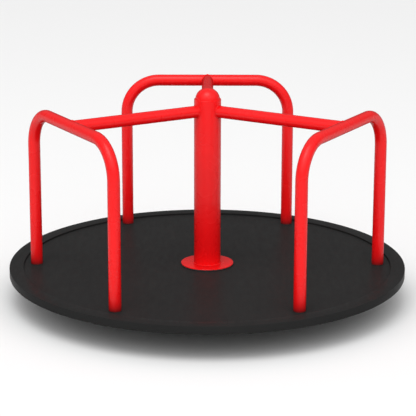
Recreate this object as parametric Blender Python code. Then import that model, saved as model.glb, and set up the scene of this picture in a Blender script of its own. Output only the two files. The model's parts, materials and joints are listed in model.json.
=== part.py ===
"""Playground merry-go-round: a spinning deck with a centre column, three spokes and three hoop rails.

Metres, +Z up. The origin is on the ground, at the centre of the base plate. Everything that turns does so
about the Z axis. The rear hoop faces +Y. A fixed spindle stands on the base plate, and the hub, the deck and
the column turn round it on two taper roller bearings.
"""

import math

import bmesh
import bpy
from mathutils import Matrix, Vector

# Gap between pieces that touch, and the fit of faceted round pieces that don't share a facet count.
GAP = 0.0003

# Deck and rim.
DECK_RADIUS = 0.900
GROUND_CLEARANCE = 0.125
RIM_HEIGHT = 0.036
RIM_WIDTH = 0.064
RIM_WALL = 0.004
RIM_EDGE = 0.002
DECK_RECESS = 0.008
DECK_THICKNESS = 0.003

# Hoop rails: 54 mm tube, two legs and a bar, on a circle round the centre.
PIPE_RADIUS = 0.027
PIPE_WALL = 0.0032
LEG_CIRCLE = 0.779
LEG_HALF_ANGLE = math.radians(30)
BAR_HEIGHT = 0.8705
BEND_RADIUS = 0.156
BEND_STEPS = 8
HOOP_AZIMUTHS = {"rear": 90, "left": 210, "right": 330}

# Centre column: 121 mm tube, with a domed cap pressed into its top and a flange round its foot.
COLUMN_RADIUS = 0.0605
COLUMN_WALL = 0.005
COLUMN_TOP = 0.923
COLUMN_EDGE = 0.0015
CAP_WALL = 0.003
CAP_SPIGOT = 0.026
CAP_RISE = 0.052
CAP_STEPS = 7
FLANGE_RADIUS = 0.1225
FLANGE_THICKNESS = 0.009
FLANGE_EDGE = 0.0015

# Frame under the deck: six box-section arms from the hub to the rim, one under each leg.
ARM_WIDTH = 0.070
ARM_HEIGHT = 0.025
ARM_WALL = 0.003
ARM_AZIMUTHS = (0, 60, 120, 180, 240, 300)
HUB_RADIUS = 0.075
HUB_BOTTOM = 0.060
STRINGER_DISTANCE = 0.400
STRINGER_FLANGE = 0.025
STRINGER_DEPTH = 0.022
STRINGER_WALL = 0.003

# Leg fixing: a tapped plug in each leg's end and a bolt through the arm from below.
PLUG_LENGTH = 0.020
LEG_BOLT_RADIUS = 0.006
LEG_BOLT_FLATS = 0.018
LEG_BOLT_HEAD = 0.0075

# Base: a round plate with anchor bolts, gussets and the spindle's foot.
BASE_RADIUS = 0.310
BASE_THICKNESS = 0.012
ANCHOR_CIRCLE = 0.260
ANCHOR_COUNT = 6
ANCHOR_RADIUS = 0.008
ANCHOR_HOLE = 0.009
ANCHOR_TOP = 0.042
ANCHOR_FLATS = 0.024
ANCHOR_NUT = 0.013
WASHER_RADIUS = 0.015
WASHER_THICKNESS = 0.003
GUSSET_REACH = 0.150
GUSSET_HEIGHT = 0.040
GUSSET_TOE = 0.006
GUSSET_THICKNESS = 0.010

# Spindle: foot, lower journal, upper journal and thread.
SPINDLE_FOOT = 0.038
LOWER_JOURNAL = 0.030
UPPER_JOURNAL = 0.025
THREAD_RADIUS = 0.020
SPINDLE_TOP = 0.577
SPINDLE_SHOULDER = 0.5107
NUT_FLATS = 0.060
NUT_HEIGHT = 0.020
TAB_WASHER_RADIUS = 0.031
TAB_WASHER_THICKNESS = 0.002

# Taper roller bearings: bottom height, length, journal, outer radius and roller diameter.
RACE_TAPER = 0.125
RACE_GAP = 0.0005
LOWER_BEARING = {"bottom": 0.0850, "length": 0.023, "bore": 0.030, "outer": 0.0473, "roller": 0.0082}
UPPER_BEARING = {"bottom": 0.5130, "length": 0.020, "bore": 0.025, "outer": 0.0397, "roller": 0.0073}
ROLLER_COUNT = 16
CAGE_THICKNESS = 0.002
SEAL_BOTTOM = 0.065
SEAL_THICKNESS = 0.010
CLIP_BORE = 0.041
CLIP_THICKNESS = 0.0025
HOUSING_BOTTOM = 0.503
HOUSING_TOP = 0.545
HOUSING_SHOULDER = 0.036

# Facet counts. Rings that fit into each other share one.
RIM_SEGMENTS = 96
ROUND_SEGMENTS = 48
SHAFT_SEGMENTS = 24
PIPE_SEGMENTS = 20
BOLT_SEGMENTS = 12

# Heights and radii that follow from the sizes above.
RIM_TOP = GROUND_CLEARANCE + RIM_HEIGHT
RIM_INNER = DECK_RADIUS - RIM_WIDTH
BAND_INNER = DECK_RADIUS - RIM_WALL
DECK_TOP = RIM_TOP - DECK_RECESS
DECK_BOTTOM = DECK_TOP - DECK_THICKNESS
ARM_TOP = DECK_BOTTOM - GAP
ARM_BOTTOM = ARM_TOP - ARM_HEIGHT
LEG_BOTTOM = ARM_BOTTOM + ARM_WALL + GAP
BAR_DISTANCE = LEG_CIRCLE * math.cos(LEG_HALF_ANGLE)
LEG_OFFSET = LEG_CIRCLE * math.sin(LEG_HALF_ANGLE)
HUB_TOP = ARM_TOP
COLUMN_BORE = COLUMN_RADIUS - COLUMN_WALL
LEG_HOLE = PIPE_RADIUS / math.cos(math.pi / PIPE_SEGMENTS) + GAP

FINISHES = {
    "red_paint": ((0.80, 0.012, 0.016), 0.30, 0.0),
    "black_paint": ((0.028, 0.028, 0.029), 0.50, 0.0),
    "zinc_steel": ((0.55, 0.56, 0.57), 0.38, 1.0),
    "bearing_steel": ((0.62, 0.63, 0.65), 0.22, 1.0),
    "seal_rubber": ((0.020, 0.020, 0.020), 0.70, 0.0),
}


def clear_scene():
    for obj in list(bpy.data.objects):
        bpy.data.objects.remove(obj, do_unlink=True)


def finish(name):
    """The material of one finish, made the first time it is asked for."""
    found = bpy.data.materials.get(name)
    if found:
        return found
    color, roughness, metallic = FINISHES[name]
    material = bpy.data.materials.new(name)
    material.use_nodes = True
    shader = material.node_tree.nodes["Principled BSDF"]
    shader.inputs["Base Color"].default_value = (*color, 1.0)
    shader.inputs["Roughness"].default_value = roughness
    shader.inputs["Metallic"].default_value = metallic
    material.diffuse_color = (*color, 1.0)
    return material


def link(name, data):
    obj = bpy.data.objects.new(name, data)
    bpy.context.scene.collection.objects.link(obj)
    return obj


def empty(name):
    """An axis marker on the turning axis, which the pieces of one moving body hang from."""
    marker = link(name, None)
    marker.empty_display_size = 0.1
    return marker


def piece(name, mesh, finish_name, parent=None, azimuth=0.0):
    """One sub-part: its mesh turned to its azimuth, in degrees, with its finish."""
    obj = link(name, mesh)
    obj.rotation_euler = (0.0, 0.0, math.radians(azimuth))
    obj.parent = parent
    mesh.materials.clear()
    mesh.materials.append(finish(finish_name))
    mesh.shade_smooth()
    mesh.set_sharp_from_angle(angle=math.radians(35))
    return obj


def mesh_of(name, bm):
    bmesh.ops.recalc_face_normals(bm, faces=bm.faces)
    mesh = bpy.data.meshes.new(name)
    bm.to_mesh(mesh)
    bm.free()
    return mesh


def turned(name, profile, segments, closed=True):
    """A profile of (radius, height) points turned round the Z axis. An open profile ends on the axis."""
    bm = bmesh.new()
    points = [bm.verts.new((radius, 0.0, height)) for radius, height in profile]
    if closed:
        points.append(points[0])
    edges = [bm.edges.new(pair) for pair in zip(points, points[1:])]
    bmesh.ops.spin(
        bm, geom=edges, cent=(0, 0, 0), axis=(0, 0, 1), angle=math.tau, steps=segments, use_merge=True
    )
    bmesh.ops.remove_doubles(bm, verts=bm.verts, dist=1e-6)
    return mesh_of(name, bm)


def ring(name, inner, outer, bottom, top, segments):
    profile = [(inner, bottom), (outer, bottom), (outer, top), (inner, top)]
    return turned(name, profile, segments)


def rod(radius, start, end, segments):
    """A closed cylinder mesh between two points."""
    bm = bmesh.new()
    start, end = Vector(start), Vector(end)
    along = end - start
    turn = along.to_track_quat("Z", "Y").to_matrix().to_4x4()
    bmesh.ops.create_cone(
        bm,
        cap_ends=True,
        segments=segments,
        radius1=radius,
        radius2=radius,
        depth=along.length,
        matrix=Matrix.Translation((start + end) / 2) @ turn,
    )
    return mesh_of("rod", bm)


def box(low, high):
    bm = bmesh.new()
    low, high = Vector(low), Vector(high)
    size = Matrix.Diagonal((*(high - low), 1.0))
    bmesh.ops.create_cube(bm, size=1.0, matrix=Matrix.Translation((low + high) / 2) @ size)
    return mesh_of("box", bm)


def baked(obj):
    """The object's mesh with its modifiers applied. The object itself is removed."""
    graph = bpy.context.evaluated_depsgraph_get()
    mesh = bpy.data.meshes.new_from_object(obj.evaluated_get(graph))
    bpy.data.objects.remove(obj, do_unlink=True)
    return mesh


def cut(mesh, *cutters):
    """The mesh with each cutter mesh taken out of it."""
    body = link("body", mesh)
    tools = [link("cutter", cutter) for cutter in cutters]
    for tool in tools:
        tool.hide_render = True
        tool.display_type = "WIRE"
        boolean = body.modifiers.new("cut", "BOOLEAN")
        boolean.operation = "DIFFERENCE"
        boolean.object = tool
    result = baked(body)
    for tool in tools:
        bpy.data.objects.remove(tool, do_unlink=True)
    return result


def outline(section, segments):
    """Points of a section round the Z axis: a circle, or a hexagon given by its width across flats."""
    shape, size = section
    for step in range(segments):
        angle = math.tau * step / segments
        radius = size
        if shape == "hex":
            to_flat = (angle % (math.tau / 6)) - math.tau / 12
            radius = size / 2 / math.cos(to_flat)
        yield radius * math.cos(angle), radius * math.sin(angle)


def stacked(name, sections, segments=BOLT_SEGMENTS):
    """A solid of stacked sections: each is ("round", radius) or ("hex", flats), then its bottom and top."""
    bm = bmesh.new()
    loops = []
    for section, bottom, top in sections:
        for height in (bottom, top):
            loops.append([bm.verts.new((x, y, height)) for x, y in outline(section, segments)])
    for lower, upper in zip(loops, loops[1:]):
        for step in range(segments):
            after = (step + 1) % segments
            bm.faces.new((lower[step], lower[after], upper[after], upper[step]))
    bm.faces.new(loops[0])
    bm.faces.new(loops[-1])
    return mesh_of(name, bm)


def moved(mesh, offset):
    mesh.transform(Matrix.Translation(offset))
    return mesh


# Rim, deck and the frame under it.


def rim_cap():
    """The flat top of the rim, with a short skirt at its inner edge that stands on the deck."""
    outer, inner = DECK_RADIUS, RIM_INNER
    roof = RIM_TOP - RIM_WALL
    foot = DECK_TOP + GAP
    profile = [
        (outer, roof),
        (outer, RIM_TOP - RIM_EDGE),
        (outer - RIM_EDGE, RIM_TOP),
        (inner + RIM_EDGE, RIM_TOP),
        (inner, RIM_TOP - RIM_EDGE),
        (inner, foot),
        (inner + RIM_WALL, foot),
        (inner + RIM_WALL, roof),
    ]
    return turned("rim_cap", profile, RIM_SEGMENTS)


def rim_band():
    """The rolled flat bar that makes the rim's side wall. The deck and the arms end against its inside."""
    top = RIM_TOP - RIM_WALL - GAP
    return ring("rim_band", BAND_INNER, DECK_RADIUS, GROUND_CLEARANCE, top, RIM_SEGMENTS)


def leg_places():
    for azimuth in ARM_AZIMUTHS:
        angle = math.radians(azimuth)
        yield LEG_CIRCLE * math.cos(angle), LEG_CIRCLE * math.sin(angle)


def deck_panel():
    """A round plate inside the rim's band, with a hole for the column and one for each leg."""
    below, above = DECK_BOTTOM - 0.01, DECK_TOP + 0.01
    plate = rod(BAND_INNER - GAP, (0, 0, DECK_BOTTOM), (0, 0, DECK_TOP), RIM_SEGMENTS)
    holes = [rod(COLUMN_RADIUS + GAP, (0, 0, below), (0, 0, above), ROUND_SEGMENTS)]
    holes += [rod(LEG_HOLE, (x, y, below), (x, y, above), PIPE_SEGMENTS) for x, y in leg_places()]
    return cut(plate, *holes)


def frame_arm():
    """A box-section arm along +X, coped round the hub, with a leg socket in its top and a bolt hole below."""
    half = ARM_WIDTH / 2
    band_flat = BAND_INNER * math.cos(math.pi / RIM_SEGMENTS)
    end = math.sqrt(band_flat**2 - half**2) - GAP
    start = HUB_RADIUS - 0.015
    solid = box((start, -half, ARM_BOTTOM), (end, half, ARM_TOP))
    inside = half - ARM_WALL
    hollow = box((start - 0.01, -inside, ARM_BOTTOM + ARM_WALL), (end + 0.01, inside, ARM_TOP - ARM_WALL))
    middle = (ARM_BOTTOM + ARM_TOP) / 2
    socket = rod(LEG_HOLE, (LEG_CIRCLE, 0, middle), (LEG_CIRCLE, 0, ARM_TOP + 0.01), PIPE_SEGMENTS)
    bolt_hole = rod(
        LEG_BOLT_RADIUS + 0.0005, (LEG_CIRCLE, 0, ARM_BOTTOM - 0.01), (LEG_CIRCLE, 0, middle), BOLT_SEGMENTS
    )
    hub_space = rod(HUB_RADIUS + GAP, (0, 0, ARM_BOTTOM - 0.01), (0, 0, ARM_TOP + 0.01), ROUND_SEGMENTS)
    return cut(solid, hollow, hub_space, socket, bolt_hole)


def deck_stringer():
    """An angle bar across +X that stiffens the deck between two arms, with its ends mitred to their sides."""
    near, far = STRINGER_DISTANCE, STRINGER_DISTANCE + STRINGER_FLANGE
    roof = ARM_TOP - STRINGER_WALL
    section = [
        (near, ARM_TOP),
        (far, ARM_TOP),
        (far, roof),
        (near + STRINGER_WALL, roof),
        (near + STRINGER_WALL, ARM_TOP - STRINGER_DEPTH),
        (near, ARM_TOP - STRINGER_DEPTH),
    ]
    half_gap = math.radians(30)
    bm = bmesh.new()
    ends = []
    for side in (-1, 1):
        loop = []
        for x, z in section:
            reach = x * math.tan(half_gap) - (ARM_WIDTH / 2 + GAP) / math.cos(half_gap)
            loop.append(bm.verts.new((x, side * reach, z)))
        bm.faces.new(loop)
        ends.append(loop)
    for step in range(len(section)):
        after = (step + 1) % len(section)
        bm.faces.new((ends[0][step], ends[0][after], ends[1][after], ends[1][step]))
    return mesh_of("deck_stringer", bm)


def hub_housing():
    """A thick sleeve under the deck. Its stepped bore holds the lower bearing's cup and the grease seal."""
    seat = LOWER_BEARING["outer"] + 0.0005
    shoulder = LOWER_BEARING["bottom"] + LOWER_BEARING["length"] + GAP
    throat = 0.040
    profile = [
        (HUB_RADIUS, HUB_BOTTOM),
        (HUB_RADIUS, HUB_TOP),
        (throat, HUB_TOP),
        (throat, shoulder),
        (seat, shoulder),
        (seat, HUB_BOTTOM),
    ]
    return turned("hub_housing", profile, ROUND_SEGMENTS)


# Hoops, spokes and column.


def hoop():
    """A hoop of bent pipe whose bar crosses the +X axis: two legs, two round bends and a straight bar."""
    side = [(LEG_OFFSET, LEG_BOTTOM)]
    for step in range(BEND_STEPS + 1):
        angle = math.pi / 2 * step / BEND_STEPS
        across = LEG_OFFSET - BEND_RADIUS + BEND_RADIUS * math.cos(angle)
        height = BAR_HEIGHT - BEND_RADIUS + BEND_RADIUS * math.sin(angle)
        side.append((across, height))
    route = side + [(-across, height) for across, height in reversed(side)]
    curve = bpy.data.curves.new("hoop", "CURVE")
    curve.dimensions = "3D"
    curve.bevel_depth = PIPE_RADIUS
    curve.bevel_resolution = (PIPE_SEGMENTS - 4) // 2
    spline = curve.splines.new("POLY")
    spline.points.add(len(route) - 1)
    for point, (across, height) in zip(spline.points, route):
        point.co = (BAR_DISTANCE, across, height, 1.0)
    skin = link("hoop", curve)
    wall = skin.modifiers.new("wall", "SOLIDIFY")
    wall.thickness = PIPE_WALL
    wall.offset = -1.0
    wall.use_even_offset = True
    return baked(skin)


def spoke():
    """A pipe along +X from the column to the hoop's bar, with both ends coped to the pipe they meet."""
    start, end = (0.03, 0, BAR_HEIGHT), (BAR_DISTANCE, 0, BAR_HEIGHT)
    bore_start, bore_end = (0.02, 0, BAR_HEIGHT), (BAR_DISTANCE + 0.01, 0, BAR_HEIGHT)
    fine = 2 * PIPE_SEGMENTS
    bar_space = (PIPE_RADIUS + GAP) / math.cos(math.pi / fine)
    return cut(
        rod(PIPE_RADIUS, start, end, PIPE_SEGMENTS),
        rod(PIPE_RADIUS - PIPE_WALL, bore_start, bore_end, PIPE_SEGMENTS),
        rod(COLUMN_RADIUS + GAP, (0, 0, BAR_HEIGHT - 0.05), (0, 0, BAR_HEIGHT + 0.05), ROUND_SEGMENTS),
        rod(bar_space, (BAR_DISTANCE, -0.05, BAR_HEIGHT), (BAR_DISTANCE, 0.05, BAR_HEIGHT), fine),
    )


def centre_column():
    bottom = HUB_TOP + GAP
    profile = [
        (COLUMN_RADIUS, bottom),
        (COLUMN_RADIUS, COLUMN_TOP - COLUMN_EDGE),
        (COLUMN_RADIUS - COLUMN_EDGE, COLUMN_TOP),
        (COLUMN_BORE, COLUMN_TOP),
        (COLUMN_BORE, bottom),
    ]
    return turned("centre_column", profile, ROUND_SEGMENTS)


def column_cap():
    """A domed shell with a straight spigot that fits into the column. It is open below."""
    outer = COLUMN_BORE - GAP
    inner = outer - CAP_WALL
    inner_rise = CAP_RISE - CAP_WALL
    centre = COLUMN_TOP - 0.002
    spigot = centre - CAP_SPIGOT
    inner_steps = 4
    profile = [(0.0, centre + CAP_RISE)]
    for step in range(1, CAP_STEPS + 1):
        angle = math.pi / 2 * step / CAP_STEPS
        profile.append((outer * math.sin(angle), centre + CAP_RISE * math.cos(angle)))
    profile += [(outer, spigot), (inner, spigot)]
    for step in range(inner_steps, 0, -1):
        angle = math.pi / 2 * step / inner_steps
        profile.append((inner * math.sin(angle), centre + inner_rise * math.cos(angle)))
    profile.append((0.0, centre + inner_rise))
    return turned("column_cap", profile, ROUND_SEGMENTS, closed=False)


def column_flange():
    bottom, top = DECK_TOP + GAP, DECK_TOP + FLANGE_THICKNESS
    bore = COLUMN_RADIUS + GAP
    profile = [
        (bore, bottom),
        (FLANGE_RADIUS, bottom),
        (FLANGE_RADIUS, top - FLANGE_EDGE),
        (FLANGE_RADIUS - FLANGE_EDGE, top),
        (bore, top),
    ]
    return turned("column_flange", profile, ROUND_SEGMENTS)


# Leg fixings, at the +X leg.


def leg_plug():
    """A tapped plug inside the leg's lower end."""
    bore = PIPE_RADIUS - PIPE_WALL
    outer = bore * math.cos(math.pi / PIPE_SEGMENTS) - GAP
    hole = (LEG_BOLT_RADIUS + GAP) / math.cos(math.pi / BOLT_SEGMENTS)
    plug = ring("leg_plug", hole, outer, LEG_BOTTOM, LEG_BOTTOM + PLUG_LENGTH, BOLT_SEGMENTS)
    return moved(plug, (LEG_CIRCLE, 0, 0))


def leg_bolt():
    seat = ARM_BOTTOM - GAP
    sections = [
        (("hex", LEG_BOLT_FLATS), seat - LEG_BOLT_HEAD, seat),
        (("round", LEG_BOLT_RADIUS), seat, LEG_BOTTOM + PLUG_LENGTH - 0.002),
    ]
    return moved(stacked("leg_bolt", sections), (LEG_CIRCLE, 0, 0))


# Base and spindle.


def anchor_places():
    for index in range(ANCHOR_COUNT):
        angle = math.radians(30 + 360 * index / ANCHOR_COUNT)
        yield ANCHOR_CIRCLE * math.cos(angle), ANCHOR_CIRCLE * math.sin(angle)


def base_plate():
    plate = rod(BASE_RADIUS, (0, 0, 0), (0, 0, BASE_THICKNESS), 48)
    radius = ANCHOR_HOLE / math.cos(math.pi / BOLT_SEGMENTS)
    holes = [
        rod(radius, (x, y, -0.01), (x, y, BASE_THICKNESS + 0.01), BOLT_SEGMENTS) for x, y in anchor_places()
    ]
    return cut(plate, *holes)


def anchor_bolt():
    """A stud with its washer and nut. It ends at the plate's underside, where the ground begins."""
    washer = BASE_THICKNESS + GAP
    nut = washer + WASHER_THICKNESS
    sections = [
        (("round", ANCHOR_RADIUS), 0.0005, washer),
        (("round", WASHER_RADIUS), washer, nut),
        (("hex", ANCHOR_FLATS), nut, nut + ANCHOR_NUT),
        (("round", ANCHOR_RADIUS), nut + ANCHOR_NUT, ANCHOR_TOP),
    ]
    return stacked("anchor_bolt", sections)


def gusset():
    """A web plate along +X between the base plate and the spindle's foot."""
    bottom = BASE_THICKNESS + GAP
    start = SPINDLE_FOOT + GAP
    corners = [
        (start, bottom),
        (GUSSET_REACH, bottom),
        (GUSSET_REACH, bottom + GUSSET_TOE),
        (start + GUSSET_TOE, bottom + GUSSET_HEIGHT),
        (start, bottom + GUSSET_HEIGHT),
    ]
    bm = bmesh.new()
    verts = [bm.verts.new((x, -GUSSET_THICKNESS / 2, z)) for x, z in corners]
    face = bm.faces.new(verts)
    grown = bmesh.ops.extrude_face_region(bm, geom=[face])
    far_side = [item for item in grown["geom"] if isinstance(item, bmesh.types.BMVert)]
    bmesh.ops.translate(bm, verts=far_side, vec=(0, GUSSET_THICKNESS, 0))
    return mesh_of("gusset", bm)


def spindle():
    """The fixed shaft, turned in steps: foot, lower journal, upper journal and thread."""
    lower_seat = LOWER_BEARING["bottom"] - GAP
    journal_end = UPPER_BEARING["bottom"] + UPPER_BEARING["length"] - 0.001
    chamfer = 0.002
    profile = [
        (0.0, BASE_THICKNESS + GAP),
        (SPINDLE_FOOT, BASE_THICKNESS + GAP),
        (SPINDLE_FOOT, lower_seat),
        (LOWER_JOURNAL, lower_seat),
        (LOWER_JOURNAL, SPINDLE_SHOULDER),
        (UPPER_JOURNAL, SPINDLE_SHOULDER),
        (UPPER_JOURNAL, journal_end),
        (THREAD_RADIUS, journal_end),
        (THREAD_RADIUS, SPINDLE_TOP - chamfer),
        (THREAD_RADIUS - chamfer, SPINDLE_TOP),
        (0.0, SPINDLE_TOP),
    ]
    return turned("spindle", profile, SHAFT_SEGMENTS, closed=False)


def tab_washer():
    bottom = UPPER_BEARING["bottom"] + UPPER_BEARING["length"] + GAP
    top = bottom + TAB_WASHER_THICKNESS
    return ring("tab_washer", THREAD_RADIUS + GAP, TAB_WASHER_RADIUS, bottom, top, SHAFT_SEGMENTS)


def spindle_nut():
    """A hexagon nut: the hexagon prism with a round hole cut through it."""
    bottom = UPPER_BEARING["bottom"] + UPPER_BEARING["length"] + TAB_WASHER_THICKNESS + 2 * GAP
    top = bottom + NUT_HEIGHT
    prism = stacked("spindle_nut", [(("hex", NUT_FLATS), bottom, top)], BOLT_SEGMENTS)
    hole = rod(THREAD_RADIUS + GAP, (0, 0, bottom - 0.01), (0, 0, top + 0.01), SHAFT_SEGMENTS)
    return cut(prism, hole)


# Bearings. A lower bearing widens downwards and an upper one upwards, so that together they hold the
# column both ways.


def race_lines(bearing, widens_down):
    """Radii of the cone's and the cup's tracks at the bearing's bottom and top."""
    half_taper = RACE_TAPER * bearing["length"]
    middle = (bearing["bore"] + bearing["outer"]) / 2
    slope = math.hypot(1.0, 2 * RACE_TAPER)
    half_space = (bearing["roller"] / 2 + RACE_GAP) * slope
    lean = half_taper if widens_down else -half_taper
    cone = (middle - half_space + lean, middle - half_space - lean)
    cup = (middle + half_space + lean, middle + half_space - lean)
    return cone, cup


def bearing_cone(name, bearing, widens_down):
    (low, high), _ = race_lines(bearing, widens_down)
    bottom, top = bearing["bottom"], bearing["bottom"] + bearing["length"]
    bore = bearing["bore"] + GAP
    return turned(name, [(bore, bottom), (low, bottom), (high, top), (bore, top)], SHAFT_SEGMENTS)


def bearing_cup(name, bearing, widens_down):
    _, (low, high) = race_lines(bearing, widens_down)
    bottom, top = bearing["bottom"], bearing["bottom"] + bearing["length"]
    outer = bearing["outer"]
    return turned(name, [(low, bottom), (outer, bottom), (outer, top), (high, top)], ROUND_SEGMENTS)


def roller_set(name, bearing, widens_down):
    """A ring of taper rollers held in their cage: a beaded section lofted from one end to the other."""
    steps = 6
    count = ROLLER_COUNT * steps
    inset = 0.0015
    bottom = bearing["bottom"] + inset
    top = bearing["bottom"] + bearing["length"] - inset
    middle = (bearing["bore"] + bearing["outer"]) / 2
    lean = RACE_TAPER * (bearing["length"] - 2 * inset) * (1 if widens_down else -1)
    bm = bmesh.new()
    loops = []
    for height, pitch in ((bottom, middle + lean), (top, middle - lean)):
        radius = bearing["roller"] / 2
        inner, outer = [], []
        for step in range(count):
            angle = math.tau * step / count
            nearest = math.tau / ROLLER_COUNT * round(angle * ROLLER_COUNT / math.tau)
            aside = pitch * math.sin(angle - nearest)
            reach = math.sqrt(max(radius**2 - aside**2, 0.0))
            half = max(reach, CAGE_THICKNESS / 2)
            for loop, distance in ((inner, pitch - half), (outer, pitch + half)):
                loop.append(bm.verts.new((distance * math.cos(angle), distance * math.sin(angle), height)))
        loops.append((inner, outer))
    (low_in, low_out), (high_in, high_out) = loops
    for first, second in ((low_in, low_out), (low_out, high_out), (high_out, high_in), (high_in, low_in)):
        for step in range(count):
            after = (step + 1) % count
            bm.faces.new((first[step], first[after], second[after], second[step]))
    return mesh_of(name, bm)


def grease_seal():
    bore = SPINDLE_FOOT + 0.0008
    outer = LOWER_BEARING["outer"]
    return ring("grease_seal", bore, outer, SEAL_BOTTOM, SEAL_BOTTOM + SEAL_THICKNESS, ROUND_SEGMENTS)


def cup_clip():
    """The ring that keeps the lower cup in the hub."""
    top = LOWER_BEARING["bottom"] - GAP
    return ring("cup_clip", CLIP_BORE, LOWER_BEARING["outer"], top - CLIP_THICKNESS, top, ROUND_SEGMENTS)


def upper_housing():
    """A ring welded inside the column. It holds the upper bearing's cup on a shoulder."""
    outer = COLUMN_BORE - GAP
    seat = UPPER_BEARING["outer"] + GAP
    shoulder = UPPER_BEARING["bottom"] - GAP
    profile = [
        (outer, HOUSING_BOTTOM),
        (outer, HOUSING_TOP),
        (seat, HOUSING_TOP),
        (seat, shoulder),
        (HOUSING_SHOULDER, shoulder),
        (HOUSING_SHOULDER, HOUSING_BOTTOM),
    ]
    return turned("upper_housing", profile, ROUND_SEGMENTS)


# Assembly.


def build_base():
    piece("base_plate", base_plate(), "black_paint")
    piece("spindle", spindle(), "zinc_steel")
    for index, azimuth in enumerate((0, 90, 180, 270), start=1):
        piece(f"gusset_{index}", gusset(), "black_paint", azimuth=azimuth)
    for index, (x, y) in enumerate(anchor_places(), start=1):
        piece(f"anchor_bolt_{index}", moved(anchor_bolt(), (x, y, 0)), "zinc_steel")
    piece("lower_bearing_cone", bearing_cone("lower_bearing_cone", LOWER_BEARING, True), "bearing_steel")
    piece("upper_bearing_cone", bearing_cone("upper_bearing_cone", UPPER_BEARING, False), "bearing_steel")
    piece("tab_washer", tab_washer(), "zinc_steel")
    piece("spindle_nut", spindle_nut(), "zinc_steel")


def build_turntable():
    axis = empty("turntable_axis")
    piece("rim_cap", rim_cap(), "black_paint", axis)
    piece("rim_band", rim_band(), "black_paint", axis)
    piece("deck_panel", deck_panel(), "black_paint", axis)
    piece("hub_housing", hub_housing(), "black_paint", axis)
    piece("lower_bearing_cup", bearing_cup("lower_bearing_cup", LOWER_BEARING, True), "bearing_steel", axis)
    piece("cup_clip", cup_clip(), "zinc_steel", axis)
    piece("grease_seal", grease_seal(), "seal_rubber", axis)
    piece("centre_column", centre_column(), "red_paint", axis)
    piece("column_cap", column_cap(), "red_paint", axis)
    piece("column_flange", column_flange(), "red_paint", axis)
    piece("upper_housing", upper_housing(), "zinc_steel", axis)
    piece("upper_bearing_cup", bearing_cup("upper_bearing_cup", UPPER_BEARING, False), "bearing_steel", axis)
    arm, plug, bolt, stringer = frame_arm(), leg_plug(), leg_bolt(), deck_stringer()
    for index, azimuth in enumerate(ARM_AZIMUTHS, start=1):
        piece(f"frame_arm_{index}", arm, "black_paint", axis, azimuth)
        piece(f"leg_plug_{index}", plug, "zinc_steel", axis, azimuth)
        piece(f"leg_bolt_{index}", bolt, "zinc_steel", axis, azimuth)
        piece(f"deck_stringer_{index}", stringer, "black_paint", axis, azimuth + 30)
    rail, strut = hoop(), spoke()
    for side, azimuth in HOOP_AZIMUTHS.items():
        piece(f"{side}_hoop", rail, "red_paint", axis, azimuth)
        piece(f"{side}_spoke", strut, "red_paint", axis, azimuth)


def build_rollers():
    lower_rollers = roller_set("lower_roller_set", LOWER_BEARING, True)
    upper_rollers = roller_set("upper_roller_set", UPPER_BEARING, False)
    piece("lower_roller_set", lower_rollers, "bearing_steel", empty("lower_roller_axis"))
    piece("upper_roller_set", upper_rollers, "bearing_steel", empty("upper_roller_axis"))


clear_scene()
build_base()
build_turntable()
build_rollers()
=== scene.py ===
"""Looks of the playground merry-go-round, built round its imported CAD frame.

Everything is in metres, in the frame's own axes: +Z up along the turning axis, ground at zero, rear
hoop at +Y. Sizes come from the CAD nodes' boxes where a box holds them. Each detailed piece stands for
the CAD node of the same purpose. The stringers and the gussets are the CAD nodes themselves.
"""

import json
import math

import bmesh
import bpy
from mathutils import Matrix, Vector


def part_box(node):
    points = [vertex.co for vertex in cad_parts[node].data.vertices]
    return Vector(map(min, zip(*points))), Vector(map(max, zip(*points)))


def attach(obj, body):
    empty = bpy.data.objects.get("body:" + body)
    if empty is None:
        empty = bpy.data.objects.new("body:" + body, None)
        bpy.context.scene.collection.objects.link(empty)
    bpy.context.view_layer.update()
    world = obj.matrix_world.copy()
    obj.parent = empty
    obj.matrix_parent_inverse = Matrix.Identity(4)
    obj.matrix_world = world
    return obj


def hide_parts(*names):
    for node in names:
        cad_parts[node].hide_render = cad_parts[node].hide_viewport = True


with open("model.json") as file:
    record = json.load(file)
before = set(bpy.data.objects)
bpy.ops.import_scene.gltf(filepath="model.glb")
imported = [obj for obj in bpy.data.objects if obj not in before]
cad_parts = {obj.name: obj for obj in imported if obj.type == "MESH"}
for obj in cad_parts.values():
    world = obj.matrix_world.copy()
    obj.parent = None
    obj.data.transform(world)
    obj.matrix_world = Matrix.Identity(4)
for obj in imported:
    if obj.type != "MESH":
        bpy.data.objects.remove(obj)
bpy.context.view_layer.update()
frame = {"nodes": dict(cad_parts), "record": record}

TAU = math.tau

# Sizes read from the CAD nodes.


def size_of(node):
    low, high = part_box(node)
    return high - low


DECK_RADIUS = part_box("rim_cap")[1].x
RIM_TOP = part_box("rim_cap")[1].z
RIM_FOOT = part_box("rim_band")[0].z
DECK_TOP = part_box("deck_panel")[1].z
DECK_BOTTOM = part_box("deck_panel")[0].z
DECK_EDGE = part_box("deck_panel")[1].x
PIPE_RADIUS = size_of("rear_hoop").y / 2
LEG_OFFSET = size_of("rear_hoop").x / 2 - PIPE_RADIUS
BAR_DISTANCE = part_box("rear_hoop")[1].y - PIPE_RADIUS
BAR_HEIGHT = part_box("rear_hoop")[1].z - PIPE_RADIUS
LEG_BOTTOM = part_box("rear_hoop")[0].z
LEG_CIRCLE = math.hypot(LEG_OFFSET, BAR_DISTANCE)
COLUMN_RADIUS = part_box("centre_column")[1].x
COLUMN_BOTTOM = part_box("centre_column")[0].z
COLUMN_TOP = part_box("centre_column")[1].z
CAP_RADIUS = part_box("column_cap")[1].x
CAP_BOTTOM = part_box("column_cap")[0].z
CAP_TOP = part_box("column_cap")[1].z
FLANGE_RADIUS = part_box("column_flange")[1].x
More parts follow.
